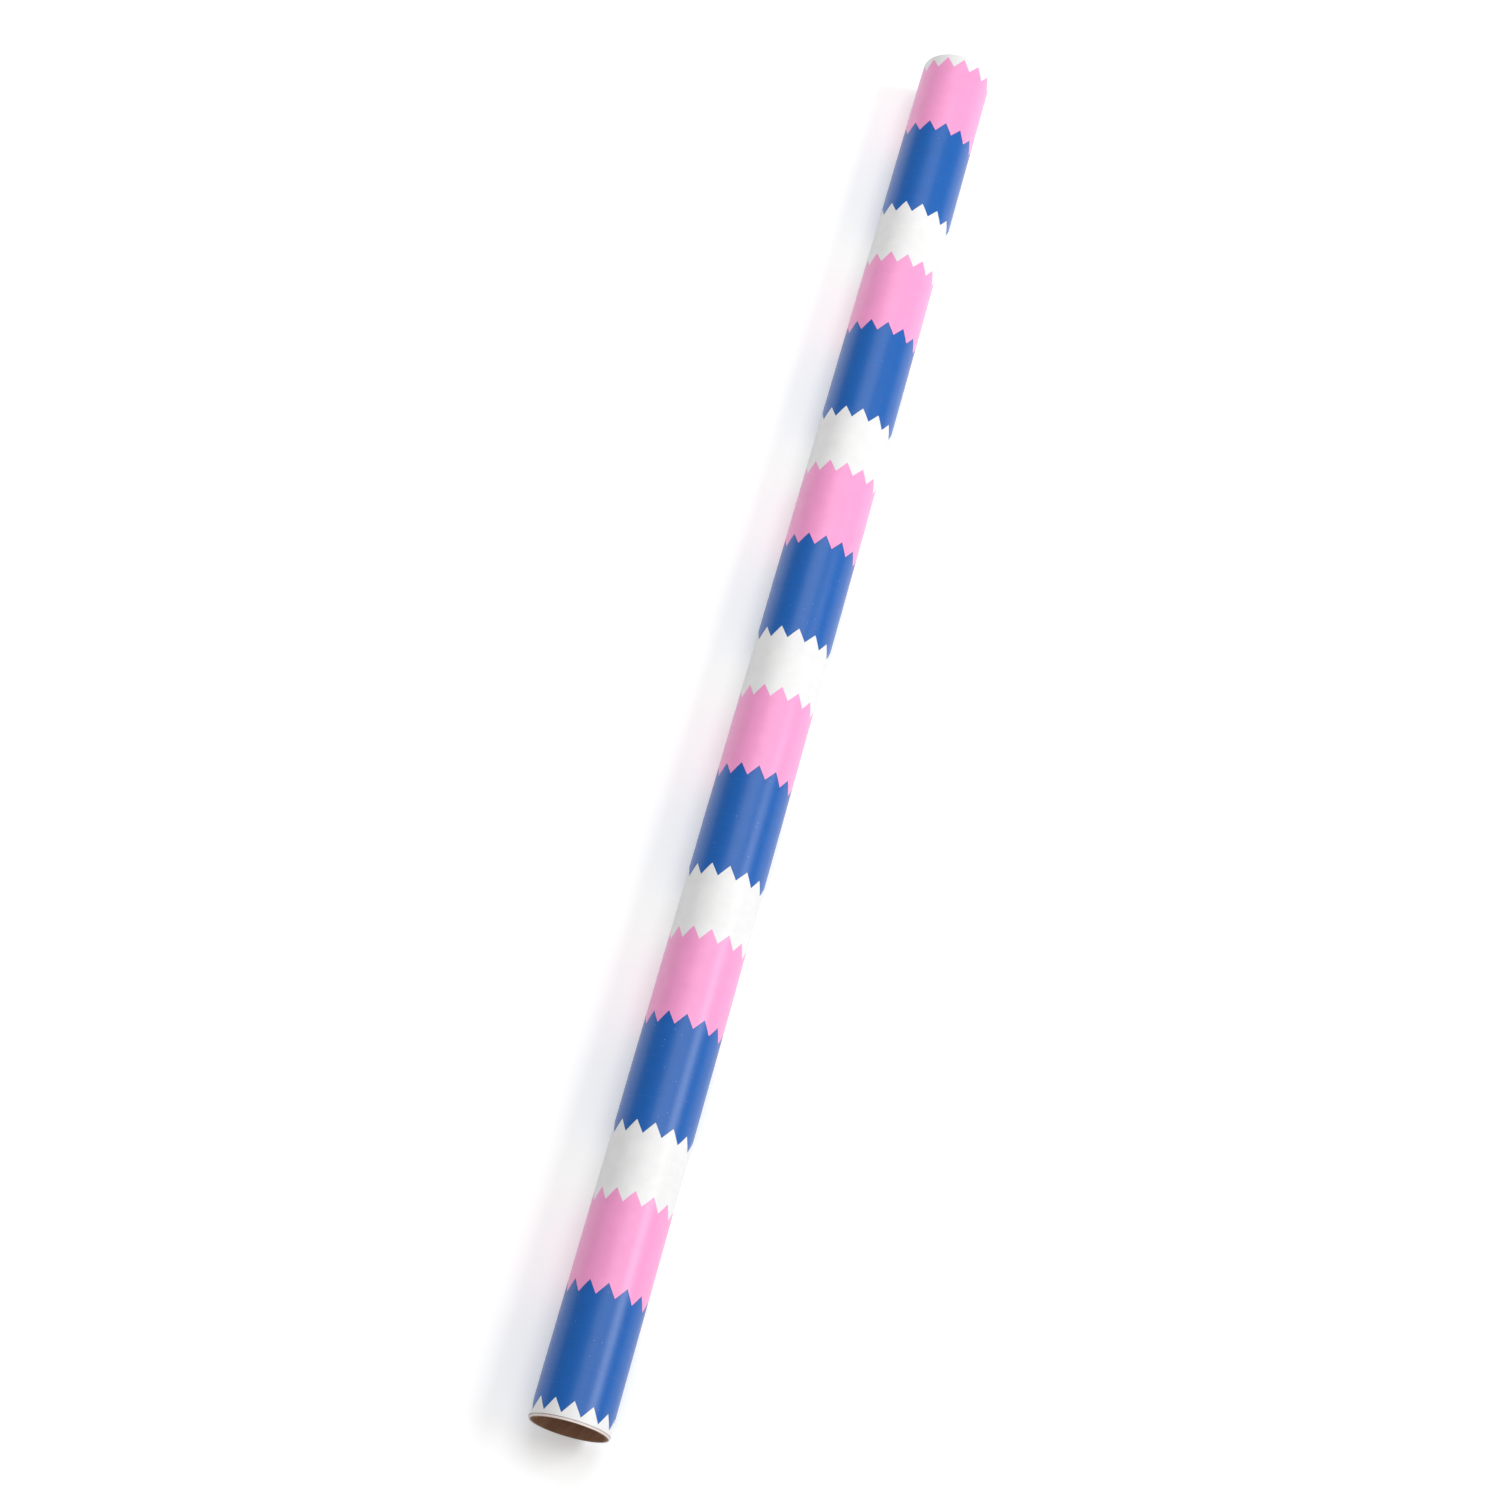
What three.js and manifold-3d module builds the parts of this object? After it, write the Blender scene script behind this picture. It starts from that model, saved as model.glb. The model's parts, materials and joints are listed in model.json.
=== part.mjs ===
// Roll of printed gift wrap: one long sheet of paper wound on a spiral-wound kraft core, with its free
// end held shut by small clear tabs. The free end opens panel by panel, as the curled sheet is peeled.
//
// Millimetres, +Z up. The roll lies along Y on the plane z = 0, with its middle over the origin.
// Angles round the roll start at the top (+Z) and grow towards +X. Every round is drawn with FACETS flat
// sides, one of them centred at the bottom, so that nested pieces lie face to face.
import * as THREE from 'three';
import { mergeVertices } from 'three/addons/utils/BufferGeometryUtils.js';
import Module from 'manifold-3d';

const wasm = await Module();
wasm.setup();

// ---- Driving dimensions ----
const ROLL_LENGTH = 700; // width of the sheet
const CORE_BORE = 30.7; // inside diameter of the kraft core
const CORE_PLY = 0.35; // one ply of kraft board
const PLY_GLUE_LINE = 0.05; // between the two plies
const PLY_LEAD = 105; // one turn of a ply carries it this far along the core
const PLY_SEAM = 0.4; // open joint between the turns of one ply
const LEAD_EDGE_ROOM = 0.25; // between core and paper, where the glue line lies
const WOUND_DEPTH = 0.73; // all the turns under the outer one
const TURN_GAP = 0.05; // air between the wound turns and the outer one
const OUTER_TURN = 0.12; // the outer turn and the free end
const GLUE_THICKNESS = 0.15;
const GLUE_WIDTH = 2.4;
const GLUE_MARGIN = 10; // bare stretch of core at each end of the glue line
const TAB_WIDTH = 19; // tape tab, along the roll
const TAB_THICKNESS = 0.1;
const TAB_GAP = 0.05; // tab to paper
const TAB_LAP = 5.9; // how far a tab reaches past the free edge, round the roll
const TAB_INSET = 50; // roll end to the middle of the tab nearest to it
const EDGE_GAP = 0.3; // between neighbouring panels, and at the free edge

const FACETS = 32;
const TAIL_PANELS = 5; // flat panels that the free end opens into
const TAB_NAMES = ['closure_tab_near', 'closure_tab_middle', 'closure_tab_far'];

// ---- Sizes that follow ----
const STEP = (2 * Math.PI) / FACETS;
const BOTTOM = Math.PI;
const innerPlyIn = CORE_BORE / 2;
const innerPlyOut = innerPlyIn + CORE_PLY;
const outerPlyIn = innerPlyOut + PLY_GLUE_LINE;
const outerPlyOut = outerPlyIn + CORE_PLY;
const woundIn = outerPlyOut + LEAD_EDGE_ROOM;
const woundOut = woundIn + WOUND_DEPTH;
const outerTurnIn = woundOut + TURN_GAP;
const rollRadius = outerTurnIn + OUTER_TURN; // from the axis to the middle of a facet
const halfGapAngle = EDGE_GAP / 2 / rollRadius;
const tailRoot = BOTTOM - STEP / 2; // angle of the first hinge
const freeEdge = tailRoot - TAIL_PANELS * STEP;

// ---- Finishes ----
const kraft = () => new THREE.MeshStandardMaterial({ color: 0x8a6448, roughness: 0.9, metalness: 0 });
const whitePaper = () => new THREE.MeshStandardMaterial({ color: 0xf2f1f0, roughness: 0.6, metalness: 0 });
const printedPaper = () => new THREE.MeshStandardMaterial({ color: 0x2f62ad, roughness: 0.4, metalness: 0 });
const pinkPaper = () => new THREE.MeshStandardMaterial({ color: 0xf79bcf, roughness: 0.4, metalness: 0 });
const glue = () => new THREE.MeshStandardMaterial({ color: 0xe8dcb8, roughness: 0.5, metalness: 0 });
const clearTape = () => new THREE.MeshStandardMaterial({ color: 0xe9eef2, roughness: 0.2, metalness: 0 });

// ---- Helpers ----

// Distance from the axis to the faceted surface at an angle, where `apothem` is the distance to the
// middle of a facet.
function facetRadius(apothem, angle) {
  const fromFacetMiddle = angle - STEP * Math.round(angle / STEP);
  return apothem / Math.cos(fromFacetMiddle);
}

// Point of the faceted surface in the roll's cross-section: x sideways, y up from the axis.
function surfacePoint(apothem, angle) {
  const radius = facetRadius(apothem, angle);
  return new THREE.Vector2(radius * Math.sin(angle), radius * Math.cos(angle));
}

// Faceted arc from angle `from` to angle `to`, with a point at each corner between them.
function facetedArc(apothem, from, to) {
  const points = [surfacePoint(apothem, from)];
  const firstCorner = Math.ceil(from / STEP - 0.5 + 1e-6);
  for (let k = firstCorner; (k + 0.5) * STEP < to - 1e-6; k += 1) {
    points.push(surfacePoint(apothem, (k + 0.5) * STEP));
  }
  points.push(surfacePoint(apothem, to));
  return points;
}

// Prism along Y of a cross-section drawn round the roll's axis.
function prism(shape, length, middle = 0) {
  const geometry = new THREE.ExtrudeGeometry(shape, { depth: length, bevelEnabled: false });
  geometry.rotateX(Math.PI / 2);
  geometry.translate(0, middle + length / 2, rollRadius);
  return geometry;
}

// Open band round part of the roll.
function band(inner, outer, from, to, length, middle = 0) {
  const inside = facetedArc(inner, from, to).reverse();
  return prism(new THREE.Shape([...facetedArc(outer, from, to), ...inside]), length, middle);
}

// Closed tube round the whole roll.
function tube(inner, outer, length) {
  const corners = (apothem) => {
    const points = [];
    for (let k = 0; k < FACETS; k += 1) {
      points.push(surfacePoint(apothem, (k + 0.5) * STEP));
    }
    return points;
  };
  const shape = new THREE.Shape(corners(outer));
  shape.holes.push(new THREE.Path(corners(inner).reverse()));
  return prism(shape, length);
}

function toSolid(geometry) {
  const bare = geometry.clone();
  bare.deleteAttribute('normal');
  bare.deleteAttribute('uv');
  const merged = mergeVertices(bare, 1e-4);
  return new wasm.Manifold(
    new wasm.Mesh({
      numProp: 3,
      vertProperties: Float32Array.from(merged.attributes.position.array),
      triVerts: Uint32Array.from(merged.index.array),
    }),
  );
}

function toGeometry(solid) {
  const mesh = solid.getMesh();
  const geometry = new THREE.BufferGeometry();
  geometry.setAttribute('position', new THREE.BufferAttribute(mesh.vertProperties, 3));
  geometry.setIndex(new THREE.BufferAttribute(mesh.triVerts, 1));
  geometry.computeVertexNormals();
  return geometry;
}

// One ply of the core: a strip of board wound as a screw, edge to edge with a narrow seam, and cut off
// square at both ends of the roll. `phase` is the share of a turn by which its seam is moved on.
function woundPly(inner, outer, phase) {
  const spareTurns = 2;
  const turns = Math.ceil(ROLL_LENGTH / PLY_LEAD) + 2 * spareTurns;
  const steps = turns * FACETS;
  const start = -ROLL_LENGTH / 2 - (spareTurns - phase) * PLY_LEAD;
  const stripWidth = PLY_LEAD - PLY_SEAM;
  const strip = new THREE.BoxGeometry(1, 1, 1, 1, 1, steps);
  const position = strip.attributes.position;
  for (let i = 0; i < position.count; i += 1) {
    const step = Math.round((position.getZ(i) + 0.5) * steps);
    const angle = -(step + 0.5) * STEP;
    const point = surfacePoint(position.getX(i) > 0 ? outer : inner, angle);
    const across = (position.getY(i) + 0.5) * stripWidth;
    position.setXYZ(i, point.x, start + (step / FACETS) * PLY_LEAD + across, rollRadius + point.y);
  }
  const room = 4 * rollRadius;
  const cutToLength = new THREE.BoxGeometry(room, ROLL_LENGTH, room);
  cutToLength.translate(0, 0, rollRadius);
  return toGeometry(toSolid(strip).intersect(toSolid(cutToLength)));
}

const roll = new THREE.Group();

function add(name, geometry, material) {
  const mesh = new THREE.Mesh(geometry, material);
  mesh.name = name;
  roll.add(mesh);
}

// ---- Core ----
function addCore() {
  add('core_inner_ply', woundPly(innerPlyIn, innerPlyOut, 0), kraft());
  add('core_outer_ply', woundPly(outerPlyIn, outerPlyOut, 0.5), kraft());
}

// ---- Line of glue that holds the sheet's first edge to the core, on the facet at the top ----
function addLeadEdgeGlue() {
  const halfAngle = Math.atan(GLUE_WIDTH / 2 / outerPlyOut);
  const inner = outerPlyOut + (LEAD_EDGE_ROOM - GLUE_THICKNESS) / 2;
  const length = ROLL_LENGTH - 2 * GLUE_MARGIN;
  add('lead_edge_glue', band(inner, inner + GLUE_THICKNESS, -halfAngle, halfAngle, length), glue());
}

// ---- Sheet: the turns below, the outer turn, and the panels of its free end ----
function addSheet() {
  add('paper_inner_turns', tube(woundIn, woundOut, ROLL_LENGTH), whitePaper());
  const outerFrom = tailRoot + halfGapAngle;
  const outerTo = 2 * Math.PI + freeEdge - halfGapAngle;
  add('paper_outer_turn', band(outerTurnIn, rollRadius, outerFrom, outerTo, ROLL_LENGTH), printedPaper());
  for (let k = 0; k < TAIL_PANELS; k += 1) {
    const far = tailRoot - k * STEP - halfGapAngle;
    const near = tailRoot - (k + 1) * STEP + halfGapAngle;
    add(`paper_tail_${k + 1}`, band(outerTurnIn, rollRadius, near, far, ROLL_LENGTH), pinkPaper());
  }
}

// ---- Tabs stuck over the free edge, one near each end and one in the middle ----
function addTabs() {
  const inner = rollRadius + TAB_GAP;
  const from = freeEdge - TAB_LAP / rollRadius;
  const to = freeEdge + STEP - halfGapAngle;
  const spacing = (ROLL_LENGTH - 2 * TAB_INSET) / (TAB_NAMES.length - 1);
  TAB_NAMES.forEach((name, k) => {
    const middle = TAB_INSET - ROLL_LENGTH / 2 + k * spacing;
    add(name, band(inner, inner + TAB_THICKNESS, from, to, TAB_WIDTH, middle), clearTape());
  });
}

addCore();
addLeadEdgeGlue();
addSheet();
addTabs();

export default roll;
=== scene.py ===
"""Looks of a roll of printed gift wrap: a long paper sheet wound on a spiral-wound kraft core.

Metres, +Z up, the roll along Y. Angles start at the top of the roll and grow towards +X. A wound angle
goes on past a full turn, and follows the sheet inwards turn after turn.
"""

import json
import logging
import math
from collections.abc import Callable, Iterable, Sequence
from dataclasses import dataclass, field
from enum import Enum

import bmesh
import bpy
from mathutils import Euler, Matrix, Quaternion, Vector, noise

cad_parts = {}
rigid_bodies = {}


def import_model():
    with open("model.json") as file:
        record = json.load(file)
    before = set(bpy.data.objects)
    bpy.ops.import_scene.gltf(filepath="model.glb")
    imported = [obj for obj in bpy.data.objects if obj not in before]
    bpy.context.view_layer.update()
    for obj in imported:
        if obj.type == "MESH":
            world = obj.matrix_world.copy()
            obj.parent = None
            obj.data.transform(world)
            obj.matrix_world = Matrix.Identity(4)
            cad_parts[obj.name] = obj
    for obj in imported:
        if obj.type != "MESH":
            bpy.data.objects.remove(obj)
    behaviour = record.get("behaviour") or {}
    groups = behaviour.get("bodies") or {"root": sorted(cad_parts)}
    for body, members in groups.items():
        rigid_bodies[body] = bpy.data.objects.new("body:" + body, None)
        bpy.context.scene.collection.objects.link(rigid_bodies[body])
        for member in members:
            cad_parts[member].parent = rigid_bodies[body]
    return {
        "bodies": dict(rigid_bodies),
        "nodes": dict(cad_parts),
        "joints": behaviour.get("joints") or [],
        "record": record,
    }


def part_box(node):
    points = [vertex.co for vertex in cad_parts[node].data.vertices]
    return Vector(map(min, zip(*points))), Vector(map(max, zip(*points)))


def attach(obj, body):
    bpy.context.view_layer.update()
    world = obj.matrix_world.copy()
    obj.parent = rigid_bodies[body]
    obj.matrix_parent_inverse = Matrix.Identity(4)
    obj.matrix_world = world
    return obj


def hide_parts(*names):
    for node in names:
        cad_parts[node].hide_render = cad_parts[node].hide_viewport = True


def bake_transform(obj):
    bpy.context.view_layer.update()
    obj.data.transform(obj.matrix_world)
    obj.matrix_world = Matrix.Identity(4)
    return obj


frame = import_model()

LOG = logging.getLogger("gift_wrap_roll")
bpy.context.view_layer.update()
MM = 0.001
TURN = 2 * math.pi
UV_NAME = "Surface"

Colour = tuple[float, float, float, float]
Triple = tuple[float, float, float]
Tree = bpy.types.NodeTree
Node = bpy.types.Node
Socket = bpy.types.NodeSocket
Sockets = bpy.types.bpy_prop_collection


def eased(share: float) -> float:
    """A smooth step from 0 to 1 while the share goes from 0 to 1, flat outside."""
    held = min(1.0, max(0.0, share))
    return held * held * (3 - 2 * held)


# ---------------------------------------------------------------- the frame


@dataclass(frozen=True)
class Bend:
    """One hinge line of the sheet's free end.

    Attributes:
        parent: Body on the side of the roll.
        child: Body that turns on the line.
        node: The child's CAD node.
        angle: Where the line lies round the roll.
    """

    parent: str
    child: str
    node: str
    angle: float


@dataclass(frozen=True)
class RollFrame:
    """Where the roll's round surfaces and hinge lines lie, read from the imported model.

    Attributes:
        axis_height: Height of the roll's axis.
        radius: Outside of the roll.
        half_length: Half the roll's length.
        core_out: Outside of the core.
        liner_out: Outside of the core's inner ply.
        facet: Angle from one hinge line to the next.
        bends: The hinge lines, from the roll to the free edge.
    """

    axis_height: float
    radius: float
    half_length: float
    core_out: float
    liner_out: float
    facet: float
    bends: tuple[Bend, ...]

    @classmethod
    def read(cls, loaded: dict) -> "RollFrame":
        """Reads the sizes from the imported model's boxes and joints."""
        low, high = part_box("paper_outer_turn")
        axis_height = (low.z + high.z) / 2
        bends = []
        for joint in loaded["joints"]:
            x, _, z = joint["pos_m"]
            node = "paper_" + joint["child"]
            bends.append(Bend(joint["parent"], joint["child"], node, math.atan2(x, z - axis_height)))
        return cls(
            axis_height=axis_height,
            radius=(high.z - low.z) / 2,
            half_length=(high.y - low.y) / 2,
            core_out=cls.half_height("core_outer_ply"),
            liner_out=cls.half_height("core_inner_ply"),
            facet=bends[0].angle - bends[1].angle,
            bends=tuple(bends),
        )

    @staticmethod
    def half_height(node: str) -> float:
        """Half the height of a CAD node's box."""
        low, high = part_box(node)
        return (high.z - low.z) / 2

    @property
    def free_edge(self) -> float:
        """Angle of the sheet's free edge."""
        return self.bends[-1].angle - self.facet

    def point(self, radius: float, angle: float, y: float = 0.0) -> Vector:
        """The point at a radius from the roll's axis, an angle, and a place along the roll."""
        return Vector((radius * math.sin(angle), y, self.axis_height + radius * math.cos(angle)))

    def radial(self, place: Vector) -> Vector:
        """Unit vector from the roll's axis out to a place."""
        return Vector((place.x, 0.0, place.z - self.axis_height)).normalized()


ROLL = RollFrame.read(frame)


# ---------------------------------------------------------------- shader tools


class Wire:
    """Adds and joins nodes in one node tree, from left to right."""

    def __init__(self, tree: Tree) -> None:
        """Starts on an empty tree."""
        self.tree = tree
        self.column = 0

    def add(self, kind: str, **settings: object) -> Node:
        """Adds a node and sets its properties."""
        node = self.tree.nodes.new(kind)
        node.location = (self.column * 180, -(self.column % 4) * 160)
        self.column += 1
        for name, value in settings.items():
            setattr(node, name, value)
        return node

    def feed(self, socket: Socket, value: object) -> None:
        """Links a socket to another, or sets its value."""
        if isinstance(value, Socket):
            self.tree.links.new(value, socket)
        elif value is not None:
            socket.default_value = value

    def math(self, operation: str, *values: object, clamp: bool = False) -> Socket:
        """Adds a Math node."""
        node = self.add("ShaderNodeMath", operation=operation, use_clamp=clamp)
        for socket, value in zip(node.inputs, values):
            self.feed(socket, value)
        return node.outputs[0]

    def ramp(
        self, value: object, low: float, high: float, to_low: float = 0.0, to_high: float = 1.0
    ) -> Socket:
        """Adds a smooth step from one number to another."""
        node = self.add("ShaderNodeMapRange", interpolation_type="SMOOTHSTEP")
        for socket, given in zip(node.inputs, (value, low, high, to_low, to_high)):
            self.feed(socket, given)
        return node.outputs[0]

    def mix(self, share: object, first: object, second: object) -> Socket:
        """Adds a colour Mix node."""
        first_colour, second_colour, mixed_colour = 6, 7, 2
        node = self.add("ShaderNodeMix", data_type="RGBA")
        self.feed(node.inputs["Factor"], share)
        self.feed(node.inputs[first_colour], first)
        self.feed(node.inputs[second_colour], second)
        return node.outputs[mixed_colour]

    def stretch(self, vector: object, scale: Sequence[float]) -> Socket:
        """Adds a node that scales a vector's axes."""
        node = self.add("ShaderNodeVectorMath", operation="MULTIPLY")
        self.feed(node.inputs[0], vector)
        node.inputs[1].default_value = tuple(scale)
        return node.outputs[0]

    def noise(
        self, vector: object, scale: float, detail: float = 2.0, roughness: float = 0.5
    ) -> Socket:
        """Adds a Noise texture."""
        node = self.add("ShaderNodeTexNoise")
        self.feed(node.inputs["Vector"], vector)
        node.inputs["Scale"].default_value = scale
        node.inputs["Detail"].default_value = detail
        node.inputs["Roughness"].default_value = roughness
        return node.outputs["Fac"]


class Group:
    """A shader node group under construction, with named inputs and outputs."""

    def __init__(self, name: str, inputs: dict[str, object], outputs: dict[str, str]) -> None:
        """Makes the group's tree and its sockets."""
        self.tree = bpy.data.node_groups.new(name, "ShaderNodeTree")
        for label, default in inputs.items():
            kind = "Vector" if default is None else "Color" if isinstance(default, tuple) else "Float"
            socket = self.tree.interface.new_socket(
                name=label, in_out="INPUT", socket_type="NodeSocket" + kind
            )
            if default is not None:
                socket.default_value = default
        for label, kind in outputs.items():
            self.tree.interface.new_socket(name=label, in_out="OUTPUT", socket_type="NodeSocket" + kind)
        self.wire = Wire(self.tree)
        self.inputs = self.wire.add("NodeGroupInput").outputs
        self.end = self.wire.add("NodeGroupOutput")

    def give(self, **results: Socket) -> Tree:
        """Joins results to the group's outputs."""
        for label, socket in results.items():
            self.tree.links.new(socket, self.end.inputs[label])
        return self.tree


class Texture(Enum):
    """The node groups that the finishes share."""

    GRAIN = "PaperGrain"
    WRAP = "BandedWrapPrint"
    KRAFT = "KraftFibre"


def paper_grain() -> Tree:
    """Fibre grain of calendered paper, with the long soft waves of a wound sheet."""
    group = Group(
        Texture.GRAIN.value,
        {"Surface": None, "Grain Height": 1e-6, "Wave Height": 2e-5},
        {"Height": "Float", "Tone": "Float"},
    )
    fibre_stretch, wave_stretch = (1.0, 0.45, 1.0), (1.0, 0.35, 1.0)
    fibre_scale, cloud_scale, wave_scale = 2600.0, 160.0, 45.0
    fibre_share = 0.4
    wire, given = group.wire, group.inputs
    fibres = wire.noise(wire.stretch(given["Surface"], fibre_stretch), fibre_scale, 3.0, 0.6)
    cloud = wire.noise(given["Surface"], cloud_scale, 3.0)
    waves = wire.noise(wire.stretch(given["Surface"], wave_stretch), wave_scale, 1.0)
    height = wire.math(
        "ADD",
        wire.math("MULTIPLY", fibres, given["Grain Height"]),
        wire.math("MULTIPLY", waves, given["Wave Height"]),
    )
    tone = wire.math(
        "ADD",
        wire.math("MULTIPLY", fibres, fibre_share),
        wire.math("MULTIPLY", cloud, 1.0 - fibre_share),
    )
    return group.give(Height=height, Tone=tone)


def wrap_print() -> Tree:
    """Bands across the roll with saw-toothed edges, as ink masks on the sheet.

    The surface's x runs round the roll and its y along it, both in metres. The teeth point to the far
    end. Heavy masks the places where ink lies thicker: over the light ink, and along the band's start.
    """
    group = Group(
        Texture.WRAP.value,
        {
            "Surface": None,
            "First Edge": 5.4 * MM,
            "Repeat": 120.0 * MM,
            "Dark Band": 49.7 * MM,
            "Light Band": 40.0 * MM,
            "Tooth Pitch": 8.2 * MM,
            "Tooth Height": 5.7 * MM,
            "Tooth Start": 7.4 * MM,
            "Lean": 0.0033,
            "Overprint": 0.22 * MM,
            "Ink Rim": 0.2 * MM,
        },
        {"Dark": "Float", "Light": "Float", "Heavy": "Float", "Streak": "Float", "Fleck": "Float"},
    )
    soft = 0.04 * MM
    drag_stretch = (12.0, 1100.0, 1.0)
    fleck_scale, fleck_edge, fleck_rarity = 300.0, (0.03, 0.07), (0.93, 0.97)
    wire, given = group.wire, group.inputs
    parts = wire.add("ShaderNodeSeparateXYZ")
    wire.feed(parts.inputs[0], given["Surface"])
    around, along = parts.outputs["X"], parts.outputs["Y"]
    lean = wire.math("MULTIPLY_ADD", along, given["Lean"], given["Tooth Start"])
    tooth = wire.math("DIVIDE", wire.math("SUBTRACT", around, lean), given["Tooth Pitch"])
    to_tip = wire.math("PINGPONG", tooth, 0.5)
    rise = wire.math("SUBTRACT", 0.5, wire.math("MULTIPLY", to_tip, 2.0))
    shifted = wire.math("SUBTRACT", along, wire.math("MULTIPLY", rise, given["Tooth Height"]))
    cycles = wire.math("DIVIDE", wire.math("SUBTRACT", shifted, given["First Edge"]), given["Repeat"])
    place = wire.math("MULTIPLY", wire.math("FRACT", cycles), given["Repeat"])
    both = wire.math("ADD", given["Dark Band"], given["Light Band"])
    started = wire.ramp(place, 0.0, soft)
    past_dark = wire.ramp(wire.math("SUBTRACT", place, given["Dark Band"]), -soft, soft)
    past_both = wire.ramp(wire.math("SUBTRACT", place, both), -soft, soft)
    trap = wire.math("SUBTRACT", given["Dark Band"], given["Overprint"])
    under_dark = wire.ramp(wire.math("SUBTRACT", place, trap), -soft, soft)
    dark = wire.math("MULTIPLY", started, wire.math("SUBTRACT", 1.0, past_dark))
    light = wire.math("MULTIPLY", under_dark, wire.math("SUBTRACT", 1.0, past_both))
    rim = wire.ramp(wire.math("SUBTRACT", place, given["Ink Rim"]), -soft, soft, 1.0, 0.0)
    heavy = wire.math("MAXIMUM", rim, under_dark)
    streak = wire.noise(wire.stretch(given["Surface"], drag_stretch), 1.0, 3.0, 0.65)
    cells = wire.add("ShaderNodeTexVoronoi", voronoi_dimensions="2D")
    wire.feed(cells.inputs["Vector"], given["Surface"])
    cells.inputs["Scale"].default_value = fleck_scale
    draw = wire.add("ShaderNodeSeparateColor")
    wire.feed(draw.inputs[0], cells.outputs["Color"])
    near = wire.ramp(cells.outputs["Distance"], *fleck_edge, 1.0, 0.0)
    fleck = wire.math("MULTIPLY", near, wire.ramp(draw.outputs[0], *fleck_rarity))
    return group.give(Dark=dark, Light=light, Heavy=heavy, Streak=streak, Fleck=fleck)


def kraft_fibre() -> Tree:
    """Recycled kraft board: patchy tone, fibres laid along the strip, and dark and pale flecks."""
    group = Group(
        Texture.KRAFT.value,
        {
            "Surface": None,
            "Dark": (0.1, 0.05, 0.03, 1.0),
            "Mid": (0.3, 0.2, 0.1, 1.0),
            "Pale": (0.5, 0.4, 0.3, 1.0),
        },
        {"Colour": "Color", "Height": "Float", "Tone": "Float"},
    )
    patch_stretch, fibre_stretch = (0.6, 1.0, 1.0), (0.12, 1.0, 1.0)
    patch_scale, fibre_scale, fleck_scale = 190.0, 3200.0, 1500.0
    patch_share, fibre_share, mid_share = 0.55, 0.45, 0.45
    dark_flecks, pale_flecks = (0.68, 0.8, 0.0, 0.6), (0.34, 0.22, 0.0, 0.5)
    relief = 0.03 * MM
    wire, given = group.wire, group.inputs
    patches = wire.noise(wire.stretch(given["Surface"], patch_stretch), patch_scale, 4.0, 0.6)
    fibres = wire.noise(wire.stretch(given["Surface"], fibre_stretch), fibre_scale, 3.0, 0.7)
    fine = wire.noise(given["Surface"], fleck_scale, 2.0, 0.6)
    tone = wire.math(
        "ADD",
        wire.math("MULTIPLY", patches, patch_share),
        wire.math("MULTIPLY", fibres, fibre_share),
    )
    base = wire.mix(wire.ramp(tone, 0.3, 0.72), given["Dark"], given["Pale"])
    base = wire.mix(mid_share, base, given["Mid"])
    base = wire.mix(wire.ramp(fine, *dark_flecks), base, given["Dark"])
    base = wire.mix(wire.ramp(fine, *pale_flecks), base, given["Pale"])
    height = wire.math("MULTIPLY", tone, relief)
    return group.give(Colour=base, Height=height, Tone=tone)


TEXTURE_MAKERS: dict[Texture, Callable[[], Tree]] = {
    Texture.GRAIN: paper_grain,
    Texture.WRAP: wrap_print,
    Texture.KRAFT: kraft_fibre,
}


def texture(kind: Texture) -> Tree:
    """The shared node group of a kind, made the first time it is asked for."""
    return bpy.data.node_groups.get(kind.value) or TEXTURE_MAKERS[kind]()


# ---------------------------------------------------------------- finishes


@dataclass(frozen=True)
class Finish:
    """A surface finish. Each kind fills in its own shader.

    Attributes:
        name: The material's name.
        roughness: The shader's roughness, before it varies.
        specular: The shader's specular level.
        spread: How much the roughness varies with the surface's tone.
    """

    name: str
    roughness: float = 0.5
    specular: float = 0.5
    spread: float = 0.1

    def build(self) -> bpy.types.Material:
        """The finish's material, made once."""
        found = bpy.data.materials.get(self.name)
        if found:
            return found
        material = bpy.data.materials.new(self.name)
        material.use_nodes = True
        material.node_tree.nodes.clear()
        wire = Wire(material.node_tree)
        shader = wire.add("ShaderNodeBsdfPrincipled")
        shader.inputs["Specular IOR Level"].default_value = self.specular
        shader.inputs["Roughness"].default_value = self.roughness
        for label, value in self.fill(wire).items():
            wire.feed(shader.inputs[label], value)
        end = wire.add("ShaderNodeOutputMaterial")
        wire.feed(end.inputs["Surface"], shader.outputs[0])
        return material

    def fill(self, wire: Wire) -> dict[str, object]:
        """Makes what the shader is fed. Each kind of finish has its own."""
        raise NotImplementedError

    @staticmethod
    def surface(wire: Wire) -> Socket:
        """The piece's own surface coordinates, in metres."""
        return wire.add("ShaderNodeUVMap", uv_map=UV_NAME).outputs[0]

    @staticmethod
    def use(wire: Wire, kind: Texture, **values: object) -> Sockets:
        """Places a shared node group, with its inputs given by name."""
        node = wire.add("ShaderNodeGroup", node_tree=texture(kind))
        for label, value in values.items():
            wire.feed(node.inputs[label.replace("_", " ")], value)
        return node.outputs

    @staticmethod
    def bump(wire: Wire, height: Socket) -> Socket:
        """The normal that relief in metres gives."""
        node = wire.add("ShaderNodeBump")
        node.inputs["Strength"].default_value = 1.0
        node.inputs["Distance"].default_value = 1.0
        wire.feed(node.inputs["Height"], height)
        return node.outputs[0]

    def varied(self, wire: Wire, tone: Socket) -> Socket:
        """The roughness, varied evenly up and down by a tone from 0 to 1."""
        return wire.math("MULTIPLY_ADD", tone, self.spread, self.roughness - self.spread / 2)


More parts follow.
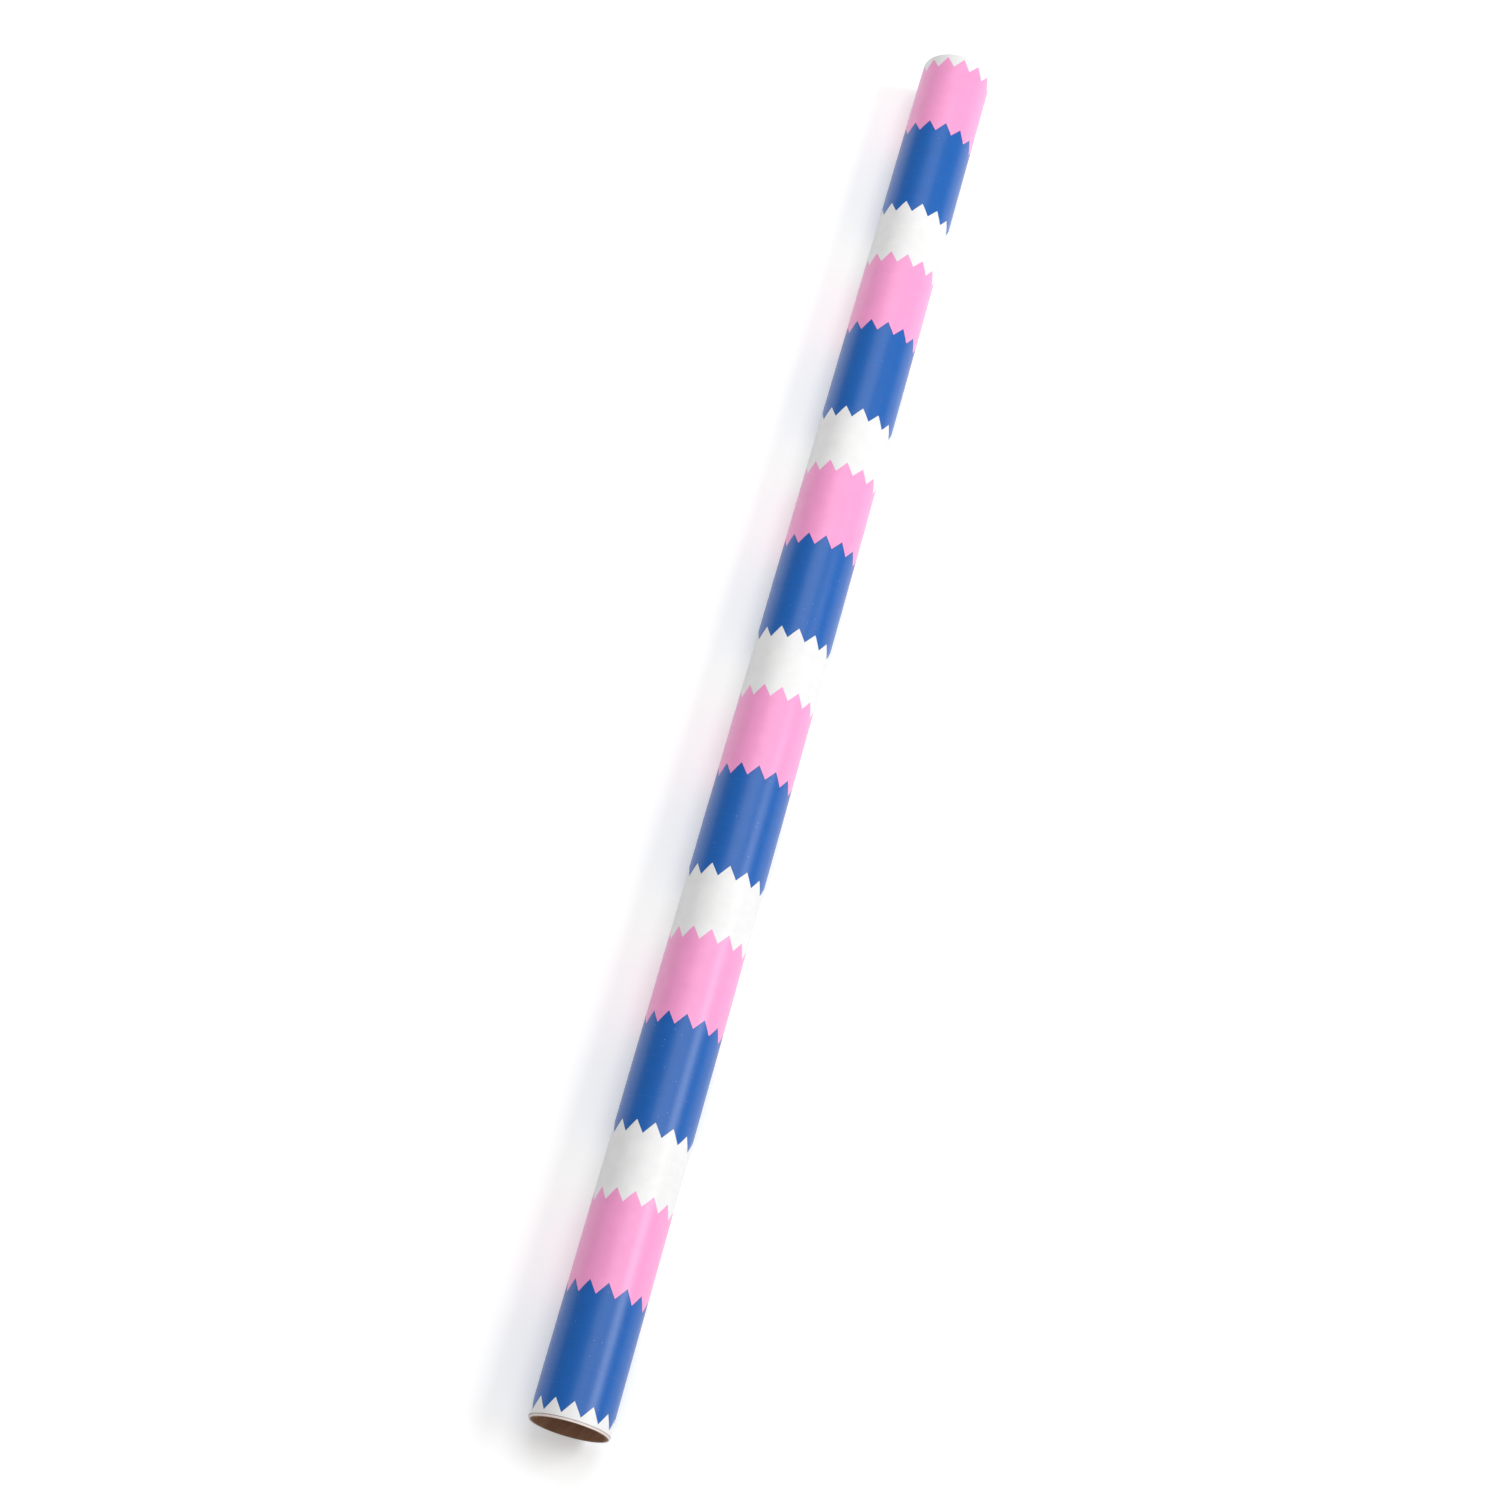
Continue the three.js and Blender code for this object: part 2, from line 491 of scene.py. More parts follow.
@dataclass(frozen=True)
class PrintedPaper(Finish):
    """The sheet's printed side: satin coated stock with two flat inks in saw-toothed bands.

    Attributes:
        white: Bare stock.
        blue: The dark ink.
        pink: The light ink.
        overprint: The dark ink where it lies thick.
        dust_and_shade: Tint of the near margin: partly dust, partly painted shade under the outer turn.
        dust_and_shade_reach: How far in that tint goes.
        painted_shadow_line: Painted shadow, a grey line under the outer turn's near edge.
        shadow_line_reach: Where that painted shadow ends.
        coat: Gloss of the ink over the stock.
        coat_roughness: Roughness of that gloss.
        first_edge: Where the first dark band starts, from the near end.
        repeat: From one dark band to the next.
        dark_band: Length of a dark band.
        light_band: Length of a light band.
        tooth_pitch: From one tooth to the next, round the roll.
        tooth_height: Height of a tooth.
        tooth_start: Where the first tooth starts, from the top of the roll.
        lean: How far the teeth move round for each metre along.
        grain_height: Depth of the stock's fibre grain.
        wave_height: Depth of the sheet's soft waves in the relief.
        worn: How much bare stock shows in a fleck of the dark ink.
        streaking: How much of that shows in the streaks of the dark ink.
        tone_range: How dark and how light the grain makes the colour.
        ink_smoothing: How much smoother inked stock is.
    """

    white: Colour = (0.87, 0.867, 0.864, 1.0)
    blue: Colour = (0.004, 0.117, 0.46, 1.0)
    pink: Colour = (0.96, 0.35, 0.65, 1.0)
    overprint: Colour = (0.006, 0.03, 0.24, 1.0)
    dust_and_shade: Colour = (0.85, 0.745, 0.715, 1.0)
    dust_and_shade_reach: float = 0.9 * MM
    painted_shadow_line: Colour = (0.34, 0.28, 0.27, 1.0)
    shadow_line_reach: float = 1.2 * MM
    coat: float = 0.12
    coat_roughness: float = 0.3
    first_edge: float = 5.39 * MM
    repeat: float = 120.04 * MM
    dark_band: float = 49.73 * MM
    light_band: float = 39.97 * MM
    tooth_pitch: float = 8.216 * MM
    tooth_height: float = 5.7 * MM
    tooth_start: float = 7.393 * MM
    lean: float = 0.0033
    grain_height: float = 0.0012 * MM
    wave_height: float = 0.022 * MM
    worn: float = 0.3
    streaking: float = 0.1
    tone_range: tuple[float, float] = (0.965, 1.035)
    ink_smoothing: float = 0.06

    def fill(self, wire: Wire) -> dict[str, object]:
        """Makes ink colours, satin sheen, grain, and painted shade along the near edge."""
        surface = self.surface(wire)
        ink = self.use(
            wire,
            Texture.WRAP,
            Surface=surface,
            First_Edge=self.first_edge,
            Repeat=self.repeat,
            Dark_Band=self.dark_band,
            Light_Band=self.light_band,
            Tooth_Pitch=self.tooth_pitch,
            Tooth_Height=self.tooth_height,
            Tooth_Start=self.tooth_start,
            Lean=self.lean,
        )
        grain = self.use(
            wire,
            Texture.GRAIN,
            Surface=surface,
            Grain_Height=self.grain_height,
            Wave_Height=self.wave_height,
        )
        inked = wire.math("ADD", ink["Dark"], ink["Light"], clamp=True)
        parts = wire.add("ShaderNodeSeparateXYZ")
        wire.feed(parts.inputs[0], surface)
        along = parts.outputs["Y"]
        # Painted shadow: a grey line from 0.9 to 1.2 mm in from the near end, where the outer turn's
        # drawn-in edge lies and shades the turns under it.
        shadow_line_share = wire.ramp(along, self.dust_and_shade_reach, self.shadow_line_reach, 1.0, 0.0)
        # The outermost 0.9 mm gets a warm, darker tint that is partly dust on the cut margin and partly
        # painted shade under the outer turn's lifted edge.
        dust_and_shade_share = wire.ramp(along, self.dust_and_shade_reach * 0.9, self.dust_and_shade_reach, 1.0, 0.0)
        colour = wire.mix(dust_and_shade_share, wire.mix(shadow_line_share, self.white, self.painted_shadow_line), self.dust_and_shade)
        colour = wire.mix(ink["Light"], colour, self.pink)
        colour = wire.mix(ink["Dark"], colour, wire.mix(ink["Heavy"], self.blue, self.overprint))
        paler = wire.mix(self.worn, self.blue, self.white)
        lack = wire.ramp(ink["Streak"], 0.5, 0.85, 0.0, self.streaking)
        colour = wire.mix(wire.math("MULTIPLY", lack, ink["Dark"]), colour, paler)
        colour = wire.mix(wire.math("MULTIPLY", ink["Fleck"], ink["Dark"]), colour, paler)
        tone = wire.ramp(grain["Tone"], 0.25, 0.75, *self.tone_range)
        shaded = wire.add("ShaderNodeVectorMath", operation="SCALE")
        wire.feed(shaded.inputs[0], colour)
        wire.feed(shaded.inputs["Scale"], tone)
        rough = wire.math("MULTIPLY_ADD", inked, -self.ink_smoothing, self.roughness)
        streaks = wire.math("MULTIPLY", ink["Streak"], self.spread)
        return {
            "Base Color": shaded.outputs[0],
            "Roughness": wire.math("ADD", rough, streaks),
            "Coat Weight": wire.math("MULTIPLY", inked, self.coat),
            "Coat Roughness": self.coat_roughness,
            "Normal": self.bump(wire, grain["Height"]),
        }


@dataclass(frozen=True)
class PlainPaper(Finish):
    """Uncoated paper: the sheet's back and its cut edges.

    Attributes:
        pale: Colour of the light fibres.
        deep: Colour of the deep ones.
        grain_height: Depth of the fibre grain.
        wave_height: Depth of the soft waves.
    """

    pale: Colour = (0.87, 0.86, 0.85, 1.0)
    deep: Colour = (0.79, 0.775, 0.765, 1.0)
    grain_height: float = 0.004 * MM
    wave_height: float = 0.02 * MM

    def fill(self, wire: Wire) -> dict[str, object]:
        """Makes fibre tone and tooth."""
        grain = self.use(
            wire,
            Texture.GRAIN,
            Surface=self.surface(wire),
            Grain_Height=self.grain_height,
            Wave_Height=self.wave_height,
        )
        share = wire.ramp(grain["Tone"], 0.36, 0.64)
        return {
            "Base Color": wire.mix(share, self.deep, self.pale),
            "Roughness": self.varied(wire, grain["Tone"]),
            "Normal": self.bump(wire, grain["Height"]),
        }


@dataclass(frozen=True)
class KraftBoard(Finish):
    """Brown recycled board of the core's plies and of their cut edges.

    Attributes:
        dark: Colour of the dark fibres.
        mid: The board's middle colour.
        pale: Colour of the light fibres.
    """

    dark: Colour = (0.22, 0.1, 0.055, 1.0)
    mid: Colour = (0.43, 0.225, 0.135, 1.0)
    pale: Colour = (0.62, 0.38, 0.25, 1.0)

    def fill(self, wire: Wire) -> dict[str, object]:
        """Makes patchy fibre colour and relief."""
        fibre = self.use(
            wire,
            Texture.KRAFT,
            Surface=self.surface(wire),
            Dark=self.dark,
            Mid=self.mid,
            Pale=self.pale,
        )
        return {
            "Base Color": fibre["Colour"],
            "Roughness": self.varied(wire, fibre["Tone"]),
            "Normal": self.bump(wire, fibre["Height"]),
        }


@dataclass(frozen=True)
class ClearFilm(Finish):
    """Clear tape: a thin film that shows the print under it, with small trapped bubbles.

    Attributes:
        tint: Colour of the film.
        trapped: Colour of a bubble under it.
        cover: How much it hides.
        cover_spread: How much that varies along its drag lines.
        bubble_cover: How much more a bubble hides.
        drag_scale: Fineness of the drag lines, along them and across them.
        bubble_scale: Fineness of the bubbles.
        relief: Height of the drag lines and the bubbles.
    """

    tint: Colour = (0.86, 0.89, 0.9, 1.0)
    trapped: Colour = (0.95, 0.96, 0.97, 1.0)
    cover: float = 0.2
    cover_spread: float = 0.12
    bubble_cover: float = 0.22
    drag_scale: Triple = (60.0, 2400.0, 1.0)
    bubble_scale: float = 900.0
    relief: float = 0.004 * MM

    def fill(self, wire: Wire) -> dict[str, object]:
        """Makes film haze, bubbles and drag lines."""
        surface = self.surface(wire)
        drag = wire.noise(wire.stretch(surface, self.drag_scale), 1.0, 2.0)
        blot = wire.noise(surface, self.bubble_scale, 2.0, 0.6)
        bubble = wire.ramp(blot, 0.6, 0.72)
        thin = self.cover - self.cover_spread / 2
        haze = wire.math("MULTIPLY_ADD", drag, self.cover_spread, thin)
        height = wire.math("MULTIPLY", wire.math("ADD", drag, bubble), self.relief)
        return {
            "Alpha": wire.math("MULTIPLY_ADD", bubble, self.bubble_cover, haze, clamp=True),
            "Base Color": wire.mix(bubble, self.tint, self.trapped),
            "Roughness": wire.math("MULTIPLY_ADD", drag, self.spread, self.roughness),
            "Normal": self.bump(wire, height),
        }


@dataclass(frozen=True)
class DriedGlue(Finish):
    """Cream-coloured line of dried glue, on a CAD node that has no map of its own.

    Attributes:
        thick: Colour where the glue is thick.
        thin: Colour where it is thin.
        relief: Unevenness of its surface.
    """

    thick: Colour = (0.76, 0.66, 0.44, 1.0)
    thin: Colour = (0.86, 0.8, 0.64, 1.0)
    relief: float = 0.05 * MM

    def fill(self, wire: Wire) -> dict[str, object]:
        """Makes uneven glue depth."""
        where = wire.add("ShaderNodeTexCoord").outputs["Object"]
        depth = wire.noise(wire.stretch(where, (1.0, 0.2, 1.0)), 700.0, 3.0)
        return {
            "Base Color": wire.mix(depth, self.thick, self.thin),
            "Roughness": self.varied(wire, depth),
            "Normal": self.bump(wire, wire.math("MULTIPLY", depth, self.relief)),
        }


PRINTED = PrintedPaper("Satin printed paper", roughness=0.4, specular=0.44, spread=0.05)
BACK = PlainPaper("Uncoated paper back", roughness=0.7, specular=0.3, spread=0.12)
CUT_EDGE = PlainPaper(
    "Cut paper edge",
    roughness=0.75,
    specular=0.25,
    spread=0.12,
    pale=(0.85, 0.8, 0.785, 1.0),
    deep=(0.66, 0.6, 0.58, 1.0),
)
LINER = KraftBoard("Kraft board", roughness=0.82, specular=0.25, spread=0.2)
BOARD_EDGE = KraftBoard(
    "Cut kraft edge",
    roughness=0.9,
    specular=0.15,
    spread=0.2,
    dark=(0.1, 0.05, 0.03, 1.0),
    mid=(0.22, 0.125, 0.08, 1.0),
)
TAPE = ClearFilm("Clear tape film", roughness=0.16, specular=0.5)
GLUE = DriedGlue("Dried glue", roughness=0.5, specular=0.4, spread=0.3)


# ---------------------------------------------------------------- mesh tools


@dataclass
class Skin:
    """A thin wall under construction: an open surface that gets a thickness, a map and a finish.

    Attributes:
        name: The piece's name.
        outside: Finish of the outward side.
        inside: Finish of the side towards the roll's axis.
        rim: Finish of the cut edges.
        rim_slant: Share of a face's normal along the radius, below which the face is a cut edge.
        mesh: The bmesh that holds the surface.
    """

    name: str
    outside: Finish
    inside: Finish
    rim: Finish
    rim_slant: float = 0.7
    mesh: bmesh.types.BMesh = field(default_factory=bmesh.new)

    def __post_init__(self) -> None:
        """Adds the layer that holds how far round each point lies."""
        self.wound = self.mesh.verts.layers.float.new("wound")

    def chain(self, places: Iterable[tuple[float, Vector]]) -> list[bmesh.types.BMEdge]:
        """Joins points in a row."""
        points = []
        for angle, place in places:
            point = self.mesh.verts.new(place)
            point[self.wound] = angle
            points.append(point)
        return [self.mesh.edges.new(pair) for pair in zip(points, points[1:])]

    def extend(self, edges: list[bmesh.types.BMEdge], along: float) -> list[bmesh.types.BMEdge]:
        """Extrudes edges along the roll."""
        made = bmesh.ops.extrude_edge_only(self.mesh, edges=edges)["geom"]
        points = [g for g in made if isinstance(g, bmesh.types.BMVert)]
        bmesh.ops.translate(self.mesh, vec=(0.0, along, 0.0), verts=points)
        return [g for g in made if isinstance(g, bmesh.types.BMEdge)]

    def face_outwards(self) -> None:
        """Turns every face away from the roll's axis."""
        self.mesh.normal_update()
        inward = [
            face for face in self.mesh.faces
            if face.normal.dot(ROLL.radial(face.calc_center_median())) < 0
        ]
        if inward:
            bmesh.ops.reverse_faces(self.mesh, faces=inward)

    def finish(
        self, thickness: float, mapped: Callable[[float, Vector], tuple[float, float]]
    ) -> bpy.types.Object:
        """Gives the surface its wall, map and finishes, and makes it an object."""
        self.face_outwards()
        bmesh.ops.solidify(self.mesh, geom=self.mesh.faces[:], thickness=thickness)
        self.mesh.normal_update()
        uv = self.mesh.loops.layers.uv.new(UV_NAME)
        for face in self.mesh.faces:
            facing = face.normal.dot(ROLL.radial(face.calc_center_median()))
            side = 0 if facing > self.rim_slant else 1 if facing < -self.rim_slant else 2
            face.material_index = side
            face.smooth = side != 2
            for loop in face.loops:
                loop[uv].uv = mapped(loop.vert[self.wound], loop.vert.co)
        for edge in self.mesh.edges:
            edge.smooth = len({face.material_index for face in edge.link_faces}) == 1
        data = bpy.data.meshes.new(self.name)
        self.mesh.to_mesh(data)
        self.mesh.free()
        for finish in (self.outside, self.inside, self.rim):
            data.materials.append(finish.build())
        piece = bpy.data.objects.new(self.name, data)
        bpy.context.scene.collection.objects.link(piece)
        return piece


# ---------------------------------------------------------------- the sheet


@dataclass
class WrapSheet:
    """The printed sheet: free end, outer turn and the turns wound under it.

    Attributes:
        thickness: The paper's own thickness.
        turn_pitch: Paper and air, from one turn to the next.
        settle: How much tighter the turns under the outer one lie.
        core_room: Space between the core and the first turn.
        near_step: How far the outer turns are drawn in at the near end.
        short_turns: How many turns are drawn in.
        jitter: How unevenly the turns end.
        lift: How far the outer turn's ends stand off.
        lift_reach: How far along the roll that reaches.
        edge_lift: How far the free edge stands off at most.
        edge_reach: How far back from the free edge that reaches.
        ripple: Depth of the soft waves of the outer turn.
        steps_per_turn: Mesh steps round the outer turn.
        inner_steps_per_turn: Mesh steps round each turn under it.
        end_rows: Mesh rows near each end, measured from the end.
        long_rows: Mesh rows between them.
    """

    thickness: float = 0.055 * MM
    turn_pitch: float = 0.058 * MM
    settle: float = 0.05 * MM
    core_room: float = 0.25 * MM
    near_step: float = 0.95 * MM
    short_turns: float = 3.1
    jitter: float = 0.05 * MM
    lift: float = 0.1 * MM
    lift_reach: float = 2.0 * MM
    edge_lift: float = 0.12 * MM
    edge_reach: float = 1.2 * MM
    ripple: float = 0.03 * MM
    steps_per_turn: int = 288
    inner_steps_per_turn: int = 120
    end_rows: tuple[float, ...] = (0.6 * MM, 1.2 * MM, 2.4 * MM, 4.8 * MM)
    long_rows: int = 46

    @property
    def turns(self) -> float:
        """How many times the sheet goes round."""
        innermost = ROLL.core_out + self.core_room + self.thickness
        return (ROLL.radius - self.settle - innermost) / self.turn_pitch

    @property
    def width(self) -> float:
        """The sheet's width, along the roll."""
        return 2 * ROLL.half_length - self.near_step - self.jitter

    @property
    def length(self) -> float:
        """The sheet's length, as it would lie unrolled."""
        middle = (ROLL.radius + ROLL.core_out + self.core_room) / 2
        return self.turns * TURN * middle

    def turns_in(self, angle: float) -> float:
        """How many turns a wound angle lies in from the free edge."""
        return (angle - ROLL.free_edge) / TURN

    def spiral(self, angle: float) -> float:
        """Radius of the sheet's printed side, before any unevenness."""
        depth = self.turns_in(angle)
        settling = 1 / 8
        tight = eased((depth - 1.0) / settling)
        return ROLL.radius - depth * self.turn_pitch - self.settle * tight

    def near_edge(self, angle: float) -> float:
        """Where the sheet's near edge lies along the roll, at a wound angle."""
        stepping = 1 / 2
        out = eased((self.turns_in(angle) - self.short_turns) / stepping + 0.5)
        jitter = self.jitter * (0.5 + 0.5 * noise.noise(Vector((angle * 0.9, 3.7, 0.0))))
        return -ROLL.half_length + self.near_step * (1.0 - out) + jitter

    def uneven(self, angle: float, y: float) -> float:
        """How far the outer turn stands off its spiral, at its ends, free edge and soft waves."""
        near = y - self.near_edge(angle)
        to_end = min(near, self.width - near)
        which_end = 0.0 if near < ROLL.half_length else 9.0
        patch = 0.6 + 0.8 * noise.noise(Vector((angle * 1.4, which_end, 5.0)))
        end_lift = self.lift * patch * math.exp(-max(0.0, to_end) / self.lift_reach)
        to_edge = (angle - ROLL.free_edge) * ROLL.radius
        edge_lift = self.edge_lift * math.exp(-to_edge / self.edge_reach)
        held = 0.5 + 0.5 * noise.noise(Vector((0.0, y * 22.0, 1.0)))
        wave = self.ripple * (noise.noise(Vector((angle * 1.7, y * 14.0, 2.0))) - 0.6)
        return end_lift + edge_lift * held + wave

    def mapped(self, angle: float, place: Vector) -> tuple[float, float]:
        """Surface coordinates: how far round from the top, and how far along from the near end."""
        return (angle - TURN) * ROLL.radius, place.y + ROLL.half_length

    def rows(self) -> list[float]:
        """Steps from row to row along the roll."""
        steps = [b - a for a, b in zip((0.0, *self.end_rows), self.end_rows)]
        middle = self.width - 2 * self.end_rows[-1]
        return [*steps, *([middle / self.long_rows] * self.long_rows), *reversed(steps)]

    def strip(
        self, name: str, start: float, stop: float, steps: int, rows: Sequence[float], uneven: bool
    ) -> bpy.types.Object:
        """Builds one stretch of the sheet."""
        skin = Skin(name, PRINTED, BACK, CUT_EDGE)
        angles = [start + (stop - start) * k / steps for k in range(steps + 1)]
        edges = skin.chain((a, ROLL.point(self.spiral(a), a, self.near_edge(a))) for a in angles)
        for row in rows:
            edges = skin.extend(edges, row)
        if uneven:
            for point in skin.mesh.verts:
                angle, y = point[skin.wound], point.co.y
                point.co = ROLL.point(self.spiral(angle) + self.uneven(angle, y), angle, y)
        return skin.finish(self.thickness, self.mapped)

    def build(self) -> None:
        """Makes every stretch of the sheet, and sets all but the pieces over the hinge lines on bodies.
        """
        half = ROLL.facet / 2
        first = ROLL.bends[0].angle + half
        last = ROLL.free_edge + TURN
        outer_steps = round(self.steps_per_turn * (last - first) / TURN)
        outer = self.strip("sheet_outer_turn", first, last, outer_steps, self.rows(), True)
        place(outer, "roll", "printed_paper", "paper_outer_turn")
        inner_stop = ROLL.free_edge + self.turns * TURN
        inner_steps = round(self.inner_steps_per_turn * (self.turns - 1))
        quiet = [self.width]
        inner = self.strip("sheet_wound_turns", last, inner_stop, inner_steps, quiet, False)
        place(inner, "roll", "cut_paper_edges", "paper_inner_turns")
        fine = max(8, round(self.steps_per_turn * ROLL.facet / TURN * 2))
        for bend in ROLL.bends:
            name = "sheet_" + bend.child
            piece = self.strip(name, bend.angle - half, bend.angle + half, fine, self.rows(), True)
            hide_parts(bend.node)
            tuple(ROLL.point(ROLL.radius, bend.angle + half))
            tuple(ROLL.point(ROLL.radius, bend.angle - half))
            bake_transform(piece)
            LOG.info("piece %s bends between %s and %s", name, bend.parent, bend.child)
        edge_start, edge_stop = ROLL.free_edge, ROLL.bends[-1].angle - half
        edge = self.strip("sheet_free_edge", edge_start, edge_stop, fine // 2, self.rows(), True)
        place(edge, ROLL.bends[-1].child, "printed_paper")


def place(piece: bpy.types.Object, body: str, slot: str, *nodes: str) -> None:
    """Sets a piece on its body and hides the CAD nodes that it stands for."""
    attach(piece, body)
    if nodes:
        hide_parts(*nodes)
    LOG.info("piece %s rides on %s", piece.name, body)


# ---------------------------------------------------------------- the core


@dataclass
class KraftCore:
    """The core: two strips of kraft board wound as a screw, one over the other.

    Attributes:
        ply: Thickness of one strip.
        lead: How far one turn carries a strip along the core.
        seam: Open joint between its turns.
        steps_per_turn: Mesh steps round one turn.
        fray: Unevenness of the cut ends.
        fray_scale: Fineness of that unevenness.
        spare_turns: Turns past each end of the core, which are cut off.
    """

    ply: float = 0.35 * MM
    lead: float = 105.0 * MM
    seam: float = 0.4 * MM
    steps_per_turn: int = 192
    fray: float = 0.05 * MM
    fray_scale: float = 900.0
    spare_turns: int = 2

    def wound_ply(self, name: str, outer: float, phase: float) -> bpy.types.Object:
        """Winds one strip and cuts it off square at both ends."""
        skin = Skin(name, LINER, LINER, BOARD_EDGE)
        turns = math.ceil(2 * ROLL.half_length / self.lead) + 2 * self.spare_turns
        start = -ROLL.half_length - (self.spare_turns - phase) * self.lead
        width = self.lead - self.seam
        edge = skin.chain(
            (0.0, ROLL.point(outer, -ROLL.facet / 2, y)) for y in (start, start + width)
        )
        bmesh.ops.spin(
            skin.mesh,
            geom=[*skin.mesh.verts, *edge],
            cent=ROLL.point(0.0, 0.0),
            axis=(0.0, -1.0, 0.0),
            dvec=(0.0, self.lead / self.steps_per_turn, 0.0),
            angle=turns * TURN,
            steps=turns * self.steps_per_turn,
        )
        skin.mesh.verts.ensure_lookup_table()
        for index, point in enumerate(skin.mesh.verts):
            point[skin.wound] = (index // 2) * TURN / self.steps_per_turn
        for side in (-1.0, 1.0):
            end = side * ROLL.half_length
            bmesh.ops.bisect_plane(
                skin.mesh,
                geom=[*skin.mesh.verts, *skin.mesh.edges, *skin.mesh.faces],
                plane_co=(0.0, end, 0.0),
                plane_no=(0.0, side, 0.0),
                clear_outer=True,
            )
            for point in skin.mesh.verts:
                if abs(point.co.y - end) < self.fray:
                    spot = Vector((point.co.x * self.fray_scale, end, point.co.z * self.fray_scale))
                    rough = noise.noise(spot)
                    point.co.y -= side * self.fray * (0.5 + 0.5 * rough)
        return skin.finish(self.ply, lambda angle, spot: self.mapped(outer, angle, spot))

    def mapped(self, radius: float, angle: float, spot: Vector) -> tuple[float, float]:
        """Strip coordinates: how far along the strip, and how far across it."""
        return angle * radius, spot.y - angle / TURN * self.lead

    def build(self) -> None:
        """Makes both plies and dresses the line of glue."""
        liner = self.wound_ply("core_liner_ply", ROLL.liner_out, 0.0)
        place(liner, "roll", "kraft_liner", "core_inner_ply")
        backing = self.wound_ply("core_backing_ply", ROLL.core_out, 0.5)
        place(backing, "roll", "kraft_board", "core_outer_ply")
        glue = frame["nodes"]["lead_edge_glue"]
        glue.data.materials.clear()
        glue.data.materials.append(GLUE.build())
        LOG.info("CAD node %s dressed", glue.name)


# ---------------------------------------------------------------- the tape tabs


@dataclass
class TapeTab:
    """A short piece of clear tape over the free edge, torn off at both ends on a toothed cutter.

    Attributes:
        node: The CAD node that it stands for.
        name: The piece's name.
        film: Thickness of the film.
        stand_off: Room between the film and the sheet.
        lap: How far it reaches past the free edge.
        root_gap: Angle that it leaves free in front of the last hinge line.
        tooth: Width of one tooth of the torn ends.
        bite: Depth of those teeth.
        rows: Mesh steps round the roll.
    """

    node: str
    name: str
    film: float = 0.045 * MM
    stand_off: float = 0.02 * MM
    lap: float = 5.9 * MM
    root_gap: float = 0.01
    tooth: float = 1.0 * MM
    bite: float = 0.55 * MM
    rows: int = 24

    def build(self) -> None:
        """Makes the tab and sets it on the end of the sheet."""
        low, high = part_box(self.node)
        columns = 2 * round((high.y - low.y) / self.tooth)
        top = ROLL.radius + self.stand_off + self.film
        start = ROLL.free_edge - self.lap / ROLL.radius
        stop = ROLL.bends[-1].angle - self.root_gap
        skin = Skin(self.name, TAPE, TAPE, TAPE)
        edge = skin.chain(
            (start, ROLL.point(top, start, low.y + (high.y - low.y) * k / columns))
            for k in range(columns + 1)
        )
        bmesh.ops.spin(
            skin.mesh,
            geom=[*skin.mesh.verts, *edge],
            cent=ROLL.point(0.0, 0.0),
            axis=(0.0, 1.0, 0.0),
            angle=stop - start,
            steps=self.rows,
        )
        skin.mesh.verts.ensure_lookup_table()
        for index, point in enumerate(skin.mesh.verts):
            row, column = divmod(index, columns + 1)
            angle = start + (stop - start) * row / self.rows
            if column % 2 and row in (0, self.rows):
                angle += self.bite / ROLL.radius * (1 if row == 0 else -1)
            point[skin.wound] = angle
            point.co = ROLL.point(top, angle, point.co.y)
        piece = skin.finish(self.film, lambda angle, spot: (angle * ROLL.radius, spot.y))
        place(piece, ROLL.bends[-1].child, "clear_tape", self.node)


# ---------------------------------------------------------------- the studio


@dataclass(frozen=True)
class Softbox:
    """An area lamp that faces the roll.

    Attributes:
        name: The lamp's name.
        spot: Where it hangs.
        size: Its width and height.
        radiance: Brightness of its face, where 1 is white.
        turn: How far it is turned in its own plane, in degrees.
        aim: The point that it faces.
    """

    name: str
    spot: Triple
    size: tuple[float, float]
    radiance: float
    turn: float = 0.0
    aim: Triple = (0.0, 0.0, 0.0)

    def build(self) -> None:
        """Hangs the lamp."""
        lamp = bpy.data.lights.new(self.name, "AREA")
        lamp.shape = "RECTANGLE"
        lamp.size, lamp.size_y = self.size
        lamp.energy = self.radiance * math.pi * self.size[0] * self.size[1]
        holder = bpy.data.objects.new(self.name, lamp)
        holder.location = self.spot
        facing = (Vector(self.aim) - Vector(self.spot)).to_track_quat("-Z", "Y")
        turned = facing @ Quaternion((0.0, 0.0, 1.0), math.radians(self.turn))
        holder.rotation_euler = turned.to_euler()
        bpy.context.scene.collection.objects.link(holder)


